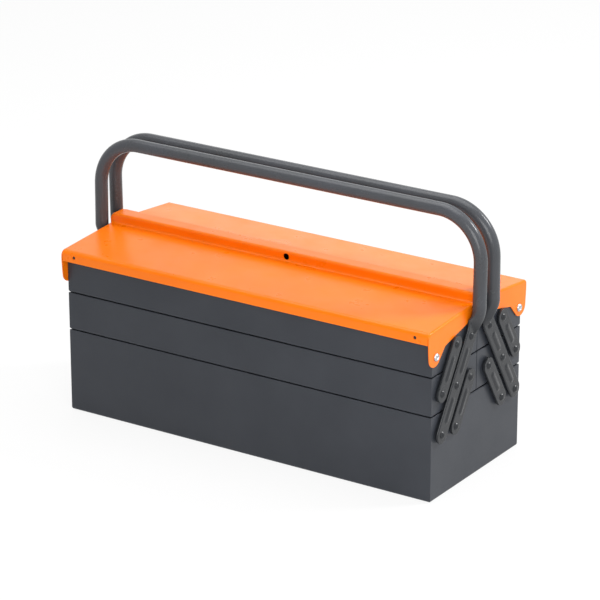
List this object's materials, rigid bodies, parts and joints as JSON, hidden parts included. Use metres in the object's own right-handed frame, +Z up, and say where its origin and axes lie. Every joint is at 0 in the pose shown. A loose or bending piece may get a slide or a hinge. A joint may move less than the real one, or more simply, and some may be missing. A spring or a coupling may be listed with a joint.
{
  "type": "cantilever tool box",
  "caption": "Sheet steel cantilever tool box: bottom box, two levels of split trays and gabled lids that open sideways with a pair of tube handles.",
  "frame": {"origin": "under the middle of the closed box, on the surface that it stands on", "axes": "+X along the box to the right, +Y from the front to the back, +Z up"},
  "size_m": [0.512, 0.2052, 0.3075],
  "materials": {
    "body_paint": "semi-gloss dark grey enamel on sheet steel",
    "frame_paint": "semi-gloss mid grey enamel on steel tube and strip",
    "lid_paint": "gloss orange enamel on sheet steel",
    "rivet_zinc": "bright zinc plated steel"
  },
  "bodies": {
    "box": {"bottom_box": "body_paint", "box_spacers": "body_paint", "box_handle_rivets": "frame_paint", "box_link_rivets": "frame_paint"},
    "handle_front": {"handle_front": "frame_paint"},
    "lower_tray_front": {"lower_tray_front": "body_paint", "lower_tray_front_spacers": "body_paint", "lower_tray_front_rivets": "frame_paint"},
    "upper_tray_front": {"upper_tray_front": "body_paint", "upper_tray_front_spacers": "body_paint", "upper_tray_front_rivets": "frame_paint", "lid_rivets_front": "rivet_zinc"},
    "lid_front": {"lid_front": "lid_paint"},
    "upper_link_front_left": {"upper_link_front_left": "frame_paint"},
    "upper_link_front_right": {"upper_link_front_right": "frame_paint"},
    "lower_link_front_left": {"lower_link_front_left": "frame_paint"},
    "lower_link_front_right": {"lower_link_front_right": "frame_paint"},
    "handle_back": {"handle_back": "frame_paint"},
    "lower_tray_back": {"lower_tray_back": "body_paint", "lower_tray_back_spacers": "body_paint", "lower_tray_back_rivets": "frame_paint"},
    "upper_tray_back": {"upper_tray_back": "body_paint", "upper_tray_back_spacers": "body_paint", "upper_tray_back_rivets": "frame_paint", "lid_rivets_back": "rivet_zinc"},
    "lid_back": {"lid_back": "lid_paint"},
    "upper_link_back_left": {"upper_link_back_left": "frame_paint"},
    "upper_link_back_right": {"upper_link_back_right": "frame_paint"},
    "lower_link_back_left": {"lower_link_back_left": "frame_paint"},
    "lower_link_back_right": {"lower_link_back_right": "frame_paint"}
  },
  "joints": [
    {"name": "handle_front_hinge", "type": "hinge", "parent": "box", "child": "handle_front", "pos_m": [0, -0.0775, 0.0742], "axis": [1, 0, 0], "range_deg": [0, 62.8]},
    {"name": "lower_tray_front_pivot", "type": "hinge", "parent": "handle_front", "child": "lower_tray_front", "pos_m": [0, -0.0485, 0.1209], "axis": [1, 0, 0], "range_deg": [-63, 0]},
    {"name": "upper_tray_front_pivot", "type": "hinge", "parent": "handle_front", "child": "upper_tray_front", "pos_m": [0, -0.0195, 0.1676], "axis": [1, 0, 0], "range_deg": [-63, 0]},
    {"name": "upper_link_front_left_pivot", "type": "hinge", "parent": "lower_tray_front", "child": "upper_link_front_left", "pos_m": [-0.24125, -0.0775, 0.1209], "axis": [1, 0, 0], "range_deg": [0, 63]},
    {"name": "upper_link_front_right_pivot", "type": "hinge", "parent": "lower_tray_front", "child": "upper_link_front_right", "pos_m": [0.24125, -0.0775, 0.1209], "axis": [1, 0, 0], "range_deg": [0, 63]},
    {"name": "lower_link_front_left_pivot", "type": "hinge", "parent": "box", "child": "lower_link_front_left", "pos_m": [-0.24125, -0.0485, 0.0742], "axis": [1, 0, 0], "range_deg": [0, 63]},
    {"name": "lower_link_front_right_pivot", "type": "hinge", "parent": "box", "child": "lower_link_front_right", "pos_m": [0.24125, -0.0485, 0.0742], "axis": [1, 0, 0], "range_deg": [0, 63]},
    {"name": "lid_front_hinge", "type": "hinge", "parent": "upper_tray_front", "child": "lid_front", "pos_m": [0, -0.0873, 0.1655], "axis": [1, 0, 0], "range_deg": [0, 115]},
    {"name": "handle_back_hinge", "type": "hinge", "parent": "box", "child": "handle_back", "pos_m": [0, 0.0775, 0.0742], "axis": [-1, 0, 0], "range_deg": [0, 62.8]},
    {"name": "lower_tray_back_pivot", "type": "hinge", "parent": "handle_back", "child": "lower_tray_back", "pos_m": [0, 0.0485, 0.1209], "axis": [-1, 0, 0], "range_deg": [-63, 0]},
    {"name": "upper_tray_back_pivot", "type": "hinge", "parent": "handle_back", "child": "upper_tray_back", "pos_m": [0, 0.0195, 0.1676], "axis": [-1, 0, 0], "range_deg": [-63, 0]},
    {"name": "upper_link_back_left_pivot", "type": "hinge", "parent": "lower_tray_back", "child": "upper_link_back_left", "pos_m": [-0.24125, 0.0775, 0.1209], "axis": [-1, 0, 0], "range_deg": [0, 63]},
    {"name": "upper_link_back_right_pivot", "type": "hinge", "parent": "lower_tray_back", "child": "upper_link_back_right", "pos_m": [0.24125, 0.0775, 0.1209], "axis": [-1, 0, 0], "range_deg": [0, 63]},
    {"name": "lower_link_back_left_pivot", "type": "hinge", "parent": "box", "child": "lower_link_back_left", "pos_m": [-0.24125, 0.0485, 0.0742], "axis": [-1, 0, 0], "range_deg": [0, 63]},
    {"name": "lower_link_back_right_pivot", "type": "hinge", "parent": "box", "child": "lower_link_back_right", "pos_m": [0.24125, 0.0485, 0.0742], "axis": [-1, 0, 0], "range_deg": [0, 63]},
    {"name": "lid_back_hinge", "type": "hinge", "parent": "upper_tray_back", "child": "lid_back", "pos_m": [0, 0.0873, 0.1655], "axis": [-1, 0, 0], "range_deg": [0, 115]}
  ],
  "couplings": [
    {"joint": "lower_tray_front_pivot", "follows": "handle_front_hinge", "ratio": -1},
    {"joint": "upper_tray_front_pivot", "follows": "handle_front_hinge", "ratio": -1},
    {"joint": "upper_link_front_left_pivot", "follows": "handle_front_hinge", "ratio": 1},
    {"joint": "upper_link_front_right_pivot", "follows": "handle_front_hinge", "ratio": 1},
    {"joint": "lower_link_front_left_pivot", "follows": "handle_front_hinge", "ratio": 1},
    {"joint": "lower_link_front_right_pivot", "follows": "handle_front_hinge", "ratio": 1},
    {"joint": "lower_tray_back_pivot", "follows": "handle_back_hinge", "ratio": -1},
    {"joint": "upper_tray_back_pivot", "follows": "handle_back_hinge", "ratio": -1},
    {"joint": "upper_link_back_left_pivot", "follows": "handle_back_hinge", "ratio": 1},
    {"joint": "upper_link_back_right_pivot", "follows": "handle_back_hinge", "ratio": 1},
    {"joint": "lower_link_back_left_pivot", "follows": "handle_back_hinge", "ratio": 1},
    {"joint": "lower_link_back_right_pivot", "follows": "handle_back_hinge", "ratio": 1}
  ]
}
